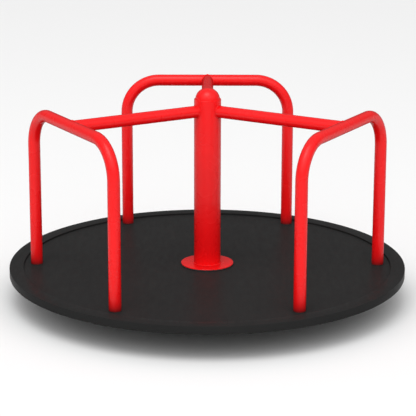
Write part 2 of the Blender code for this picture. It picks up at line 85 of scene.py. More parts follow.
FLANGE_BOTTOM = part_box("column_flange")[0].z
FLANGE_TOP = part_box("column_flange")[1].z
HUB_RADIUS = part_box("hub_housing")[1].x
HUB_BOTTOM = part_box("hub_housing")[0].z
HUB_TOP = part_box("hub_housing")[1].z
ARM_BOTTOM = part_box("frame_arm_1")[0].z
ARM_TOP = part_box("frame_arm_1")[1].z
ARM_HALF = size_of("frame_arm_1").y / 2
BASE_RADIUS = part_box("base_plate")[1].x
BASE_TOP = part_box("base_plate")[1].z
SPINDLE_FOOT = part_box("spindle")[1].x
SPINDLE_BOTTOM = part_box("spindle")[0].z
SPINDLE_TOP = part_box("spindle")[1].z
LOWER_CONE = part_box("lower_bearing_cone")
UPPER_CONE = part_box("upper_bearing_cone")
STRINGER_DEPTH = size_of("deck_stringer_6").z
GUSSET_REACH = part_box("gusset_1")[1].x
GUSSET_HALF = size_of("gusset_1").y / 2

# Sizes that the boxes don't hold.
BEND_RADIUS = 0.156
PIPE_WALL = 0.0032
COLUMN_WALL = 0.005
CAP_RISE = 0.052
CAP_WALL = 0.003
SEALANT_WIDTH = 0.0034
RIM_WIDTH = 0.064
RIM_WALL = 0.004
STRINGER_DISTANCE = 0.400
ARM_WALL = 0.003
ARM_CORNER = 0.005
HUB_SEAT = 0.0478
HUB_THROAT = 0.040
CLIP_BORE = 0.041
HOUSING_THROAT = 0.036
LOWER_JOURNAL = 0.030
UPPER_JOURNAL = 0.025
SPINDLE_SHOULDER = UPPER_CONE[0].z - 0.0023
ANCHOR_CIRCLE = 0.260
ANCHOR_HOLE = 0.009

# Bearings: the rollers' diameters at the thick end. TAPER is half the slope of a roller's axis.
LOWER_ROLLER = 0.0082
UPPER_ROLLER = 0.0073
TAPER = 0.125
ROLLER_COUNT = 16
CAGE_BAR = 0.0009
CAGE_RIM = 0.0018

# Threads and what is on them. Flats are widths across the flats.
SPINDLE_THREAD, SPINDLE_PITCH, SPINDLE_NUT_FLATS = 0.020, 0.0015, 0.060
ANCHOR_THREAD, ANCHOR_PITCH, ANCHOR_FLATS = 0.008, 0.002, 0.024
LEG_BOLT_THREAD, LEG_BOLT_PITCH, LEG_BOLT_FLATS = 0.006, 0.00175, 0.018
ANCHOR_NUT_HEIGHT = 0.013
WASHER_RADIUS = 0.015
WASHER_THICKNESS = 0.003
LEG_BOLT_HEAD = 0.0075
WASHER_FACE = 0.0086
PLUG_BORE = 0.0066

# Hairline gaps that keep the surfaces of two touching pieces apart.
FIT_GAP = 0.0003
LOOSE_GAP = 0.0004
HOLE_GAP = 0.0008

# How far a weld bead's middle stands off the surfaces that it joins, and a ring-shaped one off its seat.
BEAD_OFF = 0.0008
RING_LIFT = 0.0002
# A bead's edges count as smooth up to this angle, in degrees, so that its ripples show and its facets don't.
BEAD_SHARP = 60

# Painted shade on the legs, standing in for the shadow round their feet: it fades by a factor of e over this
# height above the deck, from this amount, towards this dark colour, and dulls the gloss by this much.
PAINTED_SHADE_HEIGHT = 0.026
PAINTED_SHADE_AMOUNT = 0.95
PAINTED_SHADE_COLOR = (0.020, 0.003, 0.003)
PAINTED_SHADE_DULLING = 0.25
# Squared distances from the axis between which the painted shade sets in: the column gets none, the legs do.
PAINTED_SHADE_FROM, PAINTED_SHADE_TO = 0.3, 0.4

HOOP_AZIMUTHS = {"rear": 90, "left": 210, "right": 330}
ARM_AZIMUTHS = (0, 60, 120, 180, 240, 300)

# Facet counts of the rounds.
RIM_FACETS = 288
FLANGE_FACETS = 192
BASE_FACETS = 144
ROUND_FACETS = 96
SMALL_FACETS = 48
BEAD_STEPS = 420


# Materials. Colours are linear, noise scales are per metre, and bump distances are in metres.


def math_node(tree, operation, *values):
    """A maths node whose inputs are numbers or other nodes' outputs."""
    node = tree.nodes.new("ShaderNodeMath")
    node.operation = operation
    for socket, value in zip(node.inputs, values):
        if isinstance(value, (int, float)):
            socket.default_value = value
        else:
            tree.links.new(value, socket)
    return node.outputs["Value"]


class Nodes:
    """A small builder for one material's node tree, in object coordinates."""

    def __init__(self, name):
        self.material = bpy.data.materials.new(name)
        self.material.use_nodes = True
        self.tree = self.material.node_tree
        self.shader = self.tree.nodes["Principled BSDF"]
        self.place = self.tree.nodes.new("ShaderNodeTexCoord").outputs["Object"]

    def join(self, output, target):
        self.tree.links.new(output, target)

    def stretched(self, scale):
        """The object coordinates, scaled along each axis. A small scale draws a pattern out."""
        mapping = self.tree.nodes.new("ShaderNodeMapping")
        mapping.inputs["Scale"].default_value = scale
        self.join(self.place, mapping.inputs["Vector"])
        return mapping.outputs["Vector"]

    def noise(self, scale, detail=3.0, rough=0.5, where=None):
        """Noise from about 0.3 to 0.7: rough is how strong its finer layers are."""
        node = self.tree.nodes.new("ShaderNodeTexNoise")
        node.inputs["Scale"].default_value = scale
        node.inputs["Detail"].default_value = detail
        node.inputs["Roughness"].default_value = rough
        self.join(where or self.place, node.inputs["Vector"])
        return node.outputs["Fac"]

    def ramp(self, value, low, high, start=0.3, end=0.7):
        """The value mapped from start..end to low..high, and held at both ends."""
        node = self.tree.nodes.new("ShaderNodeMapRange")
        node.inputs["From Min"].default_value = start
        node.inputs["From Max"].default_value = end
        node.inputs["To Min"].default_value = low
        node.inputs["To Max"].default_value = high
        self.join(value, node.inputs["Value"])
        return node.outputs["Result"]

    def mix(self, factor, first, second):
        """Two colours, each a tuple or a node's output, mixed by the factor."""
        node = self.tree.nodes.new("ShaderNodeMix")
        node.data_type = "RGBA"
        self.join(factor, node.inputs["Factor"])
        for socket, value in ((node.inputs[6], first), (node.inputs[7], second)):
            if isinstance(value, tuple):
                socket.default_value = (*value, 1.0)
            else:
                self.join(value, socket)
        return node.outputs[2]

    def maths(self, operation, first, second):
        return math_node(self.tree, operation, first, second)

    def bump(self, height, distance):
        node = self.tree.nodes.new("ShaderNodeBump")
        node.inputs["Distance"].default_value = distance
        self.join(height, node.inputs["Height"])
        return node.outputs["Normal"]


def painted_shade_mask(nodes):
    """Painted shade at the legs' feet: most at the deck, fading upwards in a few centimetres, and a bit
    uneven.
    """
    split = nodes.tree.nodes.new("ShaderNodeSeparateXYZ")
    nodes.join(nodes.place, split.inputs[0])
    across, back, up = split.outputs
    fade = nodes.maths("MULTIPLY", nodes.maths("ADD", up, -DECK_TOP), -1.0 / PAINTED_SHADE_HEIGHT)
    near_deck = nodes.maths("POWER", math.e, fade)
    squares = (nodes.maths("MULTIPLY", across, across), nodes.maths("MULTIPLY", back, back))
    on_legs = nodes.ramp(nodes.maths("ADD", *squares), 0.0, PAINTED_SHADE_AMOUNT, PAINTED_SHADE_FROM, PAINTED_SHADE_TO)
    streaks = nodes.noise(60.0, 4.0, 0.6, nodes.stretched((1.0, 1.0, 0.3)))
    uneven = nodes.ramp(streaks, 0.94, 1.06)
    return nodes.maths("MULTIPLY", nodes.maths("MULTIPLY", near_deck, on_legs), uneven)


def powder_coat(name, color, deep, roughness, specular, with_painted_shade=False):
    """Powder coat: a colour that drifts to a deeper one, fine grain, orange peel and uneven gloss, and, if
    asked, painted shade at the legs' feet.
    """
    nodes = Nodes(name)
    shader = nodes.shader
    shader.inputs["Specular IOR Level"].default_value = specular
    drift = nodes.noise(4.0, 4.0, 0.6)
    grain = nodes.noise(120.0, 3.0, 0.6)
    cloudy = nodes.maths("ADD", drift, nodes.maths("MULTIPLY", grain, 0.25))
    coat = nodes.mix(nodes.ramp(cloudy, 0.0, 1.0, 0.45, 0.80), color, deep)
    gloss = nodes.ramp(nodes.noise(9.0, 2.0, 0.5), roughness * 0.93, roughness * 1.08)
    # Painted shade: the legs darken and dull towards the deck, standing in for the shadow round their feet.
    if with_painted_shade:
        painted_shade = painted_shade_mask(nodes)
        coat = nodes.mix(painted_shade, coat, PAINTED_SHADE_COLOR)
        gloss = nodes.maths("ADD", gloss, nodes.maths("MULTIPLY", painted_shade, PAINTED_SHADE_DULLING))
    nodes.join(coat, shader.inputs["Base Color"])
    nodes.join(gloss, shader.inputs["Roughness"])
    orange_peel = nodes.noise(520.0, 2.0, 0.5)
    nodes.join(nodes.bump(orange_peel, 0.000015), shader.inputs["Normal"])
    return nodes.material


def deck_coat(name):
    """The deck's satin black: soft cloudy wear, foot scuffs in the gloss, specks of grit and fine texture."""
    nodes = Nodes(name)
    shader = nodes.shader
    shader.inputs["Specular IOR Level"].default_value = 0.012
    clouds = nodes.noise(2.6, 5.0, 0.62)
    fine = nodes.noise(300.0, 3.0, 0.6)
    worn = nodes.maths("ADD", clouds, nodes.maths("MULTIPLY", fine, 0.3))
    blend = nodes.ramp(worn, 0.0, 1.0, 0.45, 0.85)
    base = nodes.mix(blend, (0.0190, 0.0190, 0.0190), (0.0212, 0.0212, 0.0210))
    grit = nodes.ramp(nodes.noise(900.0, 1.0, 0.5), 0.0, 0.35, 0.70, 0.80)
    nodes.join(nodes.mix(grit, base, (0.026, 0.026, 0.025)), shader.inputs["Base Color"])
    scuffs = nodes.noise(34.0, 6.0, 0.7, nodes.stretched((1.0, 0.25, 1.0)))
    nodes.join(nodes.ramp(scuffs, 0.30, 0.46), shader.inputs["Roughness"])
    texture = nodes.noise(420.0, 3.0, 0.55)
    nodes.join(nodes.bump(texture, 0.00008), shader.inputs["Normal"])
    return nodes.material


def plain_metal(name, color, deep, roughness, scale, stretch=(1.0, 1.0, 1.0)):
    """Bare or plated steel with a directional grain."""
    nodes = Nodes(name)
    shader = nodes.shader
    shader.inputs["Metallic"].default_value = 1.0
    grain = nodes.noise(scale, 4.0, 0.6, nodes.stretched(stretch))
    blotch = nodes.noise(60.0, 3.0, 0.5)
    blend = nodes.ramp(nodes.maths("ADD", grain, blotch), 0.0, 1.0, 0.8, 1.25)
    nodes.join(nodes.mix(blend, color, deep), shader.inputs["Base Color"])
    nodes.join(nodes.ramp(grain, roughness * 0.8, roughness * 1.3), shader.inputs["Roughness"])
    nodes.join(nodes.bump(grain, 0.00002), shader.inputs["Normal"])
    return nodes.material


def rubber(name):
    """Matt black rubber or sealant with a faint grey bloom."""
    nodes = Nodes(name)
    shader = nodes.shader
    shader.inputs["Specular IOR Level"].default_value = 0.3
    bloom = nodes.noise(40.0, 4.0, 0.6)
    nodes.join(nodes.mix(bloom, (0.004, 0.004, 0.004), (0.009, 0.009, 0.009)), shader.inputs["Base Color"])
    nodes.join(nodes.ramp(bloom, 0.62, 0.82), shader.inputs["Roughness"])
    nodes.join(nodes.bump(nodes.noise(700.0), 0.00005), shader.inputs["Normal"])
    return nodes.material


MATERIALS = {
    "red_paint": powder_coat(
        "red_gloss_coat",
        color=(0.99, 0.0060, 0.0080),
        deep=(0.93, 0.0045, 0.0065),
        roughness=0.27,
        specular=0.34,
        # The red carries painted shade at the legs' feet.
        with_painted_shade=True,
    ),
    "deck": deck_coat("deck_black_coat"),
    "black_paint": powder_coat(
        "frame_black_coat",
        color=(0.017, 0.017, 0.018),
        deep=(0.022, 0.022, 0.022),
        roughness=0.42,
        specular=0.25,
    ),
    "zinc_steel": plain_metal(
        "zinc_plate",
        color=(0.62, 0.63, 0.64),
        deep=(0.45, 0.46, 0.48),
        roughness=0.34,
        scale=260.0,
    ),
    "bearing_steel": plain_metal(
        "ground_steel",
        color=(0.66, 0.67, 0.69),
        deep=(0.52, 0.53, 0.56),
        roughness=0.20,
        scale=500.0,
        stretch=(1.0, 1.0, 12.0),
    ),
    "seal_rubber": rubber("nitrile_rubber"),
}

# The red has a deep clear layer, which darkens it where it is seen edge-on.
red_shader = MATERIALS["red_paint"].node_tree.nodes["Principled BSDF"]
red_shader.inputs["Coat Weight"].default_value = 1.0
red_shader.inputs["Coat Roughness"].default_value = 0.3
red_shader.inputs["Coat IOR"].default_value = 1.006
red_shader.inputs["Coat Tint"].default_value = (0.905, 0.86, 0.86, 1.0)


# Geometry helpers.


def add_piece(name, bm, finish, body, *stands_for, azimuth=0.0, sharp=32.0):
    """Turns a bmesh into a finished piece that rides on a body and stands for some CAD nodes."""
    bmesh.ops.recalc_face_normals(bm, faces=bm.faces)
    mesh = bpy.data.meshes.new(name)
    bm.to_mesh(mesh)
    bm.free()
    mesh.transform(Matrix.Rotation(math.radians(azimuth), 4, "Z"))
    mesh.materials.append(MATERIALS[finish])
    mesh.shade_smooth()
    mesh.set_sharp_from_angle(angle=math.radians(sharp))
    obj = bpy.data.objects.new(name, mesh)
    bpy.context.scene.collection.objects.link(obj)
    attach(obj, body)
    if stands_for:
        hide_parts(*stands_for)


def add_weld(name, bm, finish, body, azimuth=0.0):
    """A finished piece made of weld beads, which stands for no CAD node."""
    add_piece(name, bm, finish, body, azimuth=azimuth, sharp=BEAD_SHARP)


def eased(outline, radius, steps=3):
    """A closed outline of 2D points with every corner rounded, by less than radius where edges are short."""
    rounded = []
    count = len(outline)
    for index, corner in enumerate(outline):
        here = Vector(corner)
        to_last = Vector(outline[index - 1]) - here
        to_next = Vector(outline[(index + 1) % count]) - here
        turn = to_last.angle(to_next)
        cut = min(radius / math.tan(turn / 2), to_last.length * 0.45, to_next.length * 0.45)
        start = here + to_last.normalized() * cut
        end = here + to_next.normalized() * cut
        for step in range(steps + 1):
            share = step / steps
            rounded.append(start.lerp(here, share).lerp(here.lerp(end, share), share))
    return [(point.x, point.y) for point in rounded]


def grid_faces(bm, loops, closed_loops=False):
    """Faces between loops of the same number of vertices. closed_loops also joins the last to the first."""
    pairs = list(zip(loops, loops[1:]))
    if closed_loops:
        pairs.append((loops[-1], loops[0]))
    for first, second in pairs:
        count = len(first)
        for step in range(count):
            after = (step + 1) % count
            bm.faces.new((first[step], first[after], second[after], second[step]))


def ring_outline(inner, outer, low, high):
    """The (radius, height) corners of a plain ring."""
    return [(inner, low), (outer, low), (outer, high), (inner, high)]


def turned(outline, facets, closed=True):
    """A (radius, height) outline turned round the Z axis. An open outline has its two ends on the axis."""
    bm = bmesh.new()
    points = outline if closed else outline[1:-1]
    loops = []
    for radius, height in points:
        loop = []
        for step in range(facets):
            angle = TAU * step / facets
            loop.append(bm.verts.new((radius * math.cos(angle), radius * math.sin(angle), height)))
        loops.append(loop)
    grid_faces(bm, loops, closed_loops=closed)
    if not closed:
        for (_, height), loop in ((outline[0], loops[0]), (outline[-1], loops[-1])):
            pole = bm.verts.new((0.0, 0.0, height))
            for step in range(facets):
                bm.faces.new((pole, loop[step], loop[(step + 1) % facets]))
    return bm


def swept(route, radii, facets, closed=False, bm=None):
    """A round section swept along points, without twist. It is open-ended unless the route is closed."""
    bm = bm or bmesh.new()
    count = len(route)
    tangents = []
    for index in range(count):
        before = route[index - 1] if closed or index else route[0]
        after = route[(index + 1) % count] if closed or index < count - 1 else route[-1]
        tangents.append((after - before).normalized())
    side = tangents[0].orthogonal().normalized()
    loops = []
    for index, (point, tangent) in enumerate(zip(route, tangents)):
        side = (side - tangent * side.dot(tangent)).normalized()
        up = tangent.cross(side)
        loop = []
        for step in range(facets):
            angle = TAU * step / facets
            offset = side * math.cos(angle) + up * math.sin(angle)
            loop.append(bm.verts.new(point + offset * radii[index]))
        loops.append(loop)
    grid_faces(bm, loops, closed_loops=closed)
    return bm, loops


def pipe(route, radius, wall, facets):
    """A pipe with a wall along a route: outside, inside and the two ring ends."""
    bm, outside = swept(route, [radius] * len(route), facets)
    _, inside = swept(route, [radius - wall] * len(route), facets, bm=bm)
    for outer, inner in ((outside[0], inside[0]), (outside[-1], inside[-1])):
        grid_faces(bm, [outer, inner])
    return bm


def bead(route, radius, pitch=0.0045, closed=True, ease=0.0):
    """A weld bead: a round fillet with ripples along it, pitch apart, thinner over ease at its ends."""
    plain, rippled = 0.86, 0.14
    least_end = 0.35
    length = 0.0
    radii = []
    total = sum((b - a).length for a, b in zip(route, route[1:]))
    for index, point in enumerate(route):
        if index:
            length += (point - route[index - 1]).length
        ripple = 0.5 + 0.5 * math.cos(TAU * length / pitch)
        fade = 1.0
        if ease:
            fade = min(1.0, least_end + length / ease, least_end + (total - length) / ease)
        radii.append(radius * (plain + rippled * ripple) * fade)
    bm, loops = swept(route, radii, 10, closed=closed)
    if not closed:
        bm.faces.new(loops[0])
        bm.faces.new(loops[-1])
    return bm


def circle(radius, height, count, centre=(0.0, 0.0)):
    """Points round a level circle."""
    points = []
    for step in range(count):
        angle = TAU * step / count
        x = centre[0] + radius * math.cos(angle)
        y = centre[1] + radius * math.sin(angle)
        points.append(Vector((x, y, height)))
    return points


def line(start, end):
    """Points on a straight line, close enough for a bead's ripples."""
    spacing = 0.0012
    start, end = Vector(start), Vector(end)
    count = max(2, round((end - start).length / spacing))
    return [start.lerp(end, step / count) for step in range(count + 1)]


def lofted(loops, closed):
    """Faces between rings of points. Unless the loft is closed, its first and last rings are capped."""
    bm = bmesh.new()
    rings = [[bm.verts.new(point) for point in loop] for loop in loops]
    grid_faces(bm, rings, closed_loops=closed)
    if not closed:
        bm.faces.new(rings[0])
        bm.faces.new(rings[-1])
    return bm


def hexagon(flats, low, high, bore=0.0):
    """A nut, or a bolt's head without a bore, with the round chamfers that a turned hexagon has."""
    facets = 72
    flat = flats / 2
    seat = flat * 0.95
    sides = []
    for height, inward in ((low, 1), (high, -1)):
        loop = []
        for step in range(facets):
            angle = TAU * step / facets
            reach = flat / math.cos((angle + math.pi / 6) % (math.pi / 3) - math.pi / 6)
            drop = inward * (reach - seat) * math.tan(math.pi / 6)
            loop.append((reach * math.cos(angle), reach * math.sin(angle), height + drop))
        sides.append(loop)
    loops = [circle(seat, low, facets), *sides, circle(seat, high, facets)]
    if bore:
        loops = [circle(bore, low, facets), *loops, circle(bore, high, facets)]
    return lofted(loops, bool(bore))


def thread(radius, pitch, low, high, facets=SMALL_FACETS):
    """A threaded rod end: a helical ridge in a round bar, with a chamfered tip."""
    depth = 0.6 * pitch
    tip_chamfer = 1.4 * depth
    steps_per_turn = 5
    steps = round((high - low) / pitch * steps_per_turn)
    loops = []
    for index in range(steps + 1):
        height = low + (high - low) * index / steps
        limit = radius - max(0.0, tip_chamfer - (high - height))
        loop = []
        for step in range(facets):
            share = step / facets
            ridge = abs(2 * ((height / pitch - share) % 1.0) - 1.0)
            reach = min(radius - depth * ridge, limit)
            loop.append((reach * math.cos(TAU * share), reach * math.sin(TAU * share), height))
        loops.append(loop)
    return lofted(loops, False)


def shifted(bm, x, y):
    bmesh.ops.translate(bm, verts=bm.verts, vec=(x, y, 0.0))
    return bm


def drilled_plate(outlines, thickness):
    """A flat plate below its upper outlines. The first is its edge, and the others are its holes."""
    bm = bmesh.new()
    edges = []
    for outline in outlines:
        verts = [bm.verts.new(point) for point in outline]
        for index, vert in enumerate(verts):
            edges.append(bm.edges.new((vert, verts[(index + 1) % len(verts)])))
    bmesh.ops.triangle_fill(bm, use_beauty=True, edges=edges, normal=(0, 0, 1))
    grown = bmesh.ops.extrude_face_region(bm, geom=bm.faces[:])
    lower = [item for item in grown["geom"] if isinstance(item, bmesh.types.BMVert)]
    bmesh.ops.translate(bm, verts=lower, vec=(0, 0, -thickness))
    return bm


def rounded_edges(bm, radius):
    """Rounds every edge that turns more than 35 degrees."""
    bmesh.ops.recalc_face_normals(bm, faces=bm.faces)
    sharp = [edge for edge in bm.edges if edge.calc_face_angle(0.0) > math.radians(35)]
    bmesh.ops.bevel(
        bm, geom=sharp, offset=radius, offset_type="OFFSET", segments=3, profile=0.5, affect="EDGES",
        clamp_overlap=True,
    )
    return bm


def merged(*parts):
    """Several bmeshes as one, for a piece made of parts that touch."""
    whole = bmesh.new()
    for part in parts:
        mesh = bpy.data.meshes.new("part")
        part.to_mesh(mesh)
        part.free()
        whole.from_mesh(mesh)
        bpy.data.meshes.remove(mesh)
    return whole


# Rim and deck.


def make_rim():
    """The flat rim with its folded band, as one turned section."""
    outer, inner, roof = DECK_RADIUS, DECK_RADIUS - RIM_WIDTH, RIM_TOP - RIM_WALL
    foot = DECK_TOP + FIT_GAP
    outline = [
        (outer, RIM_FOOT),
        (outer, RIM_TOP),
        (inner, RIM_TOP),
        (inner, foot),
        (inner + RIM_WALL, foot),
        (inner + RIM_WALL, roof),
        (outer - RIM_WALL, roof),
        (outer - RIM_WALL, RIM_FOOT),
    ]
    rim = turned(eased(outline, radius=0.0018), RIM_FACETS)
    add_piece("rim", rim, "deck", "turntable", "rim_cap", "rim_band")


def leg_places():
    """Each leg's (x, y) place, which is also its plug's and its bolt's."""
    for azimuth in ARM_AZIMUTHS:
        angle = math.radians(azimuth)
        yield LEG_CIRCLE * math.cos(angle), LEG_CIRCLE * math.sin(angle)


def make_deck():
    """The deck plate: a round disc with the column's and the legs' holes left open."""
    outlines = [
        circle(DECK_EDGE, DECK_TOP, RIM_FACETS),
        circle(COLUMN_RADIUS + LOOSE_GAP, DECK_TOP, ROUND_FACETS),
    ]
    for place in leg_places():
        outlines.append(circle(PIPE_RADIUS + HOLE_GAP, DECK_TOP, SMALL_FACETS, place))
    plate = drilled_plate(outlines, DECK_TOP - DECK_BOTTOM)
    add_piece("deck_plate", plate, "deck", "turntable", "deck_panel")


def make_leg_collars():
    """A thin bead of black sealant round each leg where it enters the deck."""
    for index, place in enumerate(leg_places(), start=1):
        route = circle(PIPE_RADIUS + LOOSE_GAP, DECK_TOP + RING_LIFT, SMALL_FACETS * 2, place)
        collar = bead(route, radius=0.0016, pitch=0.05)
        add_piece(f"leg_sealant_{index}", collar, "seal_rubber", "turntable")


# Rails.


def hoop_route():
    """Points of a hoop whose bar crosses the +X axis."""
    bend_steps = 20
    halfway = LEG_BOTTOM + 0.3
    side = [(LEG_OFFSET, LEG_BOTTOM), (LEG_OFFSET, halfway)]
    for step in range(bend_steps + 1):
        angle = math.pi / 2 * step / bend_steps
        across = LEG_OFFSET - BEND_RADIUS + BEND_RADIUS * math.cos(angle)
        side.append((across, BAR_HEIGHT - BEND_RADIUS + BEND_RADIUS * math.sin(angle)))
    points = side + [(-across, height) for across, height in reversed(side)]
    return [Vector((BAR_DISTANCE, across, height)) for across, height in points]


def saddle(radius, other, along, count):
    """The curve where a pipe along +X meets the column, whose axis is Z, or the bar, whose axis is Y."""
    points = []
    for step in range(count):
        angle = TAU * step / count
        y, z = radius * math.cos(angle), radius * math.sin(angle)
        aside = y if along == "column" else z
        reach = math.sqrt(max(other**2 - aside**2, 0.0))
        x = reach if along == "column" else BAR_DISTANCE - reach
        points.append(Vector((x, y, BAR_HEIGHT + z)))
    return points


def make_spoke(side, azimuth):
    """A spoke with both ends coped to the column and to the hoop's bar, and its two welds."""
    bm = bmesh.new()
    skins = []
    for radius in (PIPE_RADIUS, PIPE_RADIUS - PIPE_WALL):
        near = saddle(radius, COLUMN_RADIUS, "column", SMALL_FACETS)
        far = saddle(radius, PIPE_RADIUS, "bar", SMALL_FACETS)
        loops = []
        for share in (0.0, 0.02, 0.98, 1.0):
            loops.append([bm.verts.new(a.lerp(b, share)) for a, b in zip(near, far)])
        grid_faces(bm, loops)
        skins.append(loops)
    for end in (0, -1):
        grid_faces(bm, [skins[0][end], skins[1][end]])
    add_piece(f"{side}_spoke_pipe", bm, "red_paint", "turntable", f"{side}_spoke", azimuth=azimuth, sharp=50)
    for place, other in (("column", COLUMN_RADIUS + BEAD_OFF), ("bar", PIPE_RADIUS + BEAD_OFF)):
        weld = bead(saddle(PIPE_RADIUS + BEAD_OFF, other, place, 160), radius=0.0026)
        add_weld(f"{side}_spoke_weld_{place}", weld, "red_paint", "turntable", azimuth)


def make_rails():
    """The three hoops, each with its spoke."""
    for side, azimuth in HOOP_AZIMUTHS.items():
        bm = pipe(hoop_route(), PIPE_RADIUS, PIPE_WALL, SMALL_FACETS)
        add_piece(f"{side}_hoop_rail", bm, "red_paint", "turntable", f"{side}_hoop", azimuth=azimuth)
        make_spoke(side, azimuth)


# Column.


def make_column():
    """The column's pipe, its foot flange and their weld, and the black sealant at the flange's edge."""
    column = ring_outline(COLUMN_RADIUS - COLUMN_WALL, COLUMN_RADIUS, COLUMN_BOTTOM, COLUMN_TOP)
    tube = turned(eased(column, radius=0.0022), ROUND_FACETS)
    add_piece("column_pipe", tube, "red_paint", "turntable", "centre_column")
    edge = FLANGE_RADIUS - SEALANT_WIDTH
    flange = ring_outline(COLUMN_RADIUS + FIT_GAP, edge, FLANGE_BOTTOM, FLANGE_TOP)
    disc = turned(eased(flange, radius=0.002), FLANGE_FACETS)
    add_piece("column_foot_flange", disc, "red_paint", "turntable", "column_flange")
    route = circle(COLUMN_RADIUS + 0.0006, FLANGE_TOP + RING_LIFT, 480)
    add_weld("column_foot_weld", bead(route, radius=0.0019), "red_paint", "turntable")
    inner, low = edge + 0.0001, DECK_TOP + RING_LIFT
    fillet = [
        (inner, low),
        (FLANGE_RADIUS + 0.0006, low),
        (FLANGE_RADIUS - 0.0008, low + 0.0030),
        (inner, low + 0.0058),
    ]
    sealant = turned(eased(fillet, radius=0.0012), FLANGE_FACETS)
    add_piece("flange_sealant", sealant, "seal_rubber", "turntable", "column_flange")


def make_cap():
    """The pressed cap: a flattened dome on the column's top, and the weld under its edge."""
    steps = 24
    centre = CAP_TOP - CAP_RISE
    inner, inner_rise = CAP_RADIUS - CAP_WALL, CAP_RISE - CAP_WALL
    outline = [(0.0, CAP_TOP)]
    for step in range(1, steps + 1):
        angle = math.pi / 2 * step / steps
        outline.append((CAP_RADIUS * math.sin(angle), centre + CAP_RISE * math.cos(angle)))
    outline += [(CAP_RADIUS, CAP_BOTTOM), (inner, CAP_BOTTOM)]
    for step in range(steps, 0, -1):
        angle = math.pi / 2 * step / steps
        outline.append((inner * math.sin(angle), centre + inner_rise * math.cos(angle)))
    outline.append((0.0, centre + CAP_RISE - CAP_WALL))
    dome = turned(outline, ROUND_FACETS, closed=False)
    add_piece("cap_dome", dome, "red_paint", "turntable", "column_cap")
    route = circle(CAP_RADIUS + 0.0012, COLUMN_TOP + RING_LIFT, BEAD_STEPS)
    add_weld("cap_weld", bead(route, radius=0.0022), "red_paint", "turntable")


# Frame under the deck.


def arm_weld_route(radius):
    """Down one side of an arm, across underneath and up the other, along a round surface of this radius."""
    edge = ARM_HALF + 0.0006
    x = math.sqrt(radius**2 - edge**2)
    top, foot = ARM_TOP - 0.004, ARM_BOTTOM + 0.002
    route = line((x, edge, top), (x, edge, foot))
    for point in line((0, edge, 0), (0, -edge, 0))[2:-2]:
        route.append(Vector((math.sqrt(radius**2 - point.y**2), point.y, ARM_BOTTOM - 0.0006)))
    route += reversed(line((x, -edge, top), (x, -edge, foot)))
    return route


def make_arms():
    """Box-section arms with rounded corners, coped to the hub and to the rim's band, and welded to both."""
    band = DECK_RADIUS - RIM_WALL - LOOSE_GAP
    hub = HUB_RADIUS + FIT_GAP
    sections = []
    for inward in (0.0, ARM_WALL):
        half = ARM_HALF - inward
        low, high = ARM_BOTTOM + inward, ARM_TOP - inward
        sections.append(eased(ring_outline(-half, half, low, high), ARM_CORNER - inward, steps=5))
    for index, azimuth in enumerate(ARM_AZIMUTHS, start=1):
        bm = bmesh.new()
        skins = []
        for section in sections:
            loops = []
            for radius in (hub, band):
                loops.append([bm.verts.new((math.sqrt(radius**2 - y**2), y, z)) for y, z in section])
            grid_faces(bm, loops)
            skins.append(loops)
        for end in (0, 1):
            grid_faces(bm, [skins[0][end], skins[1][end]])
        add_piece(f"arm_{index}", bm, "black_paint", "turntable", f"frame_arm_{index}", azimuth=azimuth)
        for place, radius in (("hub", hub + BEAD_OFF), ("rim", band - BEAD_OFF)):
            weld = bead(arm_weld_route(radius), radius=0.0024, closed=False)
            add_weld(f"arm_{index}_weld_{place}", weld, "black_paint", "turntable", azimuth)


def make_hub():
    """The hub's sleeve, wider inside below its shoulder, where the lower bearing's cup sits."""
    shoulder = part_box("lower_bearing_cup")[1].z + FIT_GAP
    outline = [
        (HUB_RADIUS, HUB_BOTTOM),
        (HUB_RADIUS, HUB_TOP),
        (HUB_THROAT, HUB_TOP),
        (HUB_THROAT, shoulder),
        (HUB_SEAT, shoulder),
        (HUB_SEAT, HUB_BOTTOM),
    ]
    sleeve = turned(eased(outline, radius=0.0015), ROUND_FACETS)
    add_piece("hub_sleeve", sleeve, "black_paint", "turntable", "hub_housing")


def make_stringer_welds():
    """Each stringer's fillet welds where its web meets the two arms."""
    half_gap = math.radians(30)
    across = STRINGER_DISTANCE * math.tan(half_gap) - ARM_HALF / math.cos(half_gap)
    top, foot = ARM_TOP - 0.003, ARM_TOP - STRINGER_DEPTH + 0.001
    for index, azimuth in enumerate(ARM_AZIMUTHS, start=1):
        beads = []
        for side in (-1, 1):
            x, y = STRINGER_DISTANCE - 0.0006, side * (across - 0.0012)
            route = line((x, y, top), (x, y, foot))
            beads.append(bead(route, radius=0.0022, closed=False, ease=0.006))
        add_weld(f"stringer_{index}_welds", merged(*beads), "black_paint", "turntable", azimuth + 30)


def make_leg_bolts():
    """M12 bolts with a washer face under the head, up through the arms into the legs' plugs."""
    for index, (x, y) in enumerate(leg_places(), start=1):
        low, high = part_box(f"leg_bolt_{index}")
        seat = low.z + LEG_BOLT_HEAD
        face_low, overlap, core = seat - 0.0008, 0.0006, 0.001
        # The head is made upside down and mirrored, and it overlaps its washer face.
        head = hexagon(LEG_BOLT_FLATS, -seat + overlap, -low.z)
        bmesh.ops.scale(head, verts=head.verts, vec=(1.0, 1.0, -1.0))
        outline = ring_outline(core, WASHER_FACE, face_low, seat)
        face = turned(eased(outline, radius=0.0003), SMALL_FACETS)
        shank = thread(LEG_BOLT_THREAD, LEG_BOLT_PITCH, seat, high.z)
        bolt = shifted(merged(head, face, shank), x, y)
        add_piece(f"leg_screw_{index}", bolt, "zinc_steel", "turntable", f"leg_bolt_{index}")


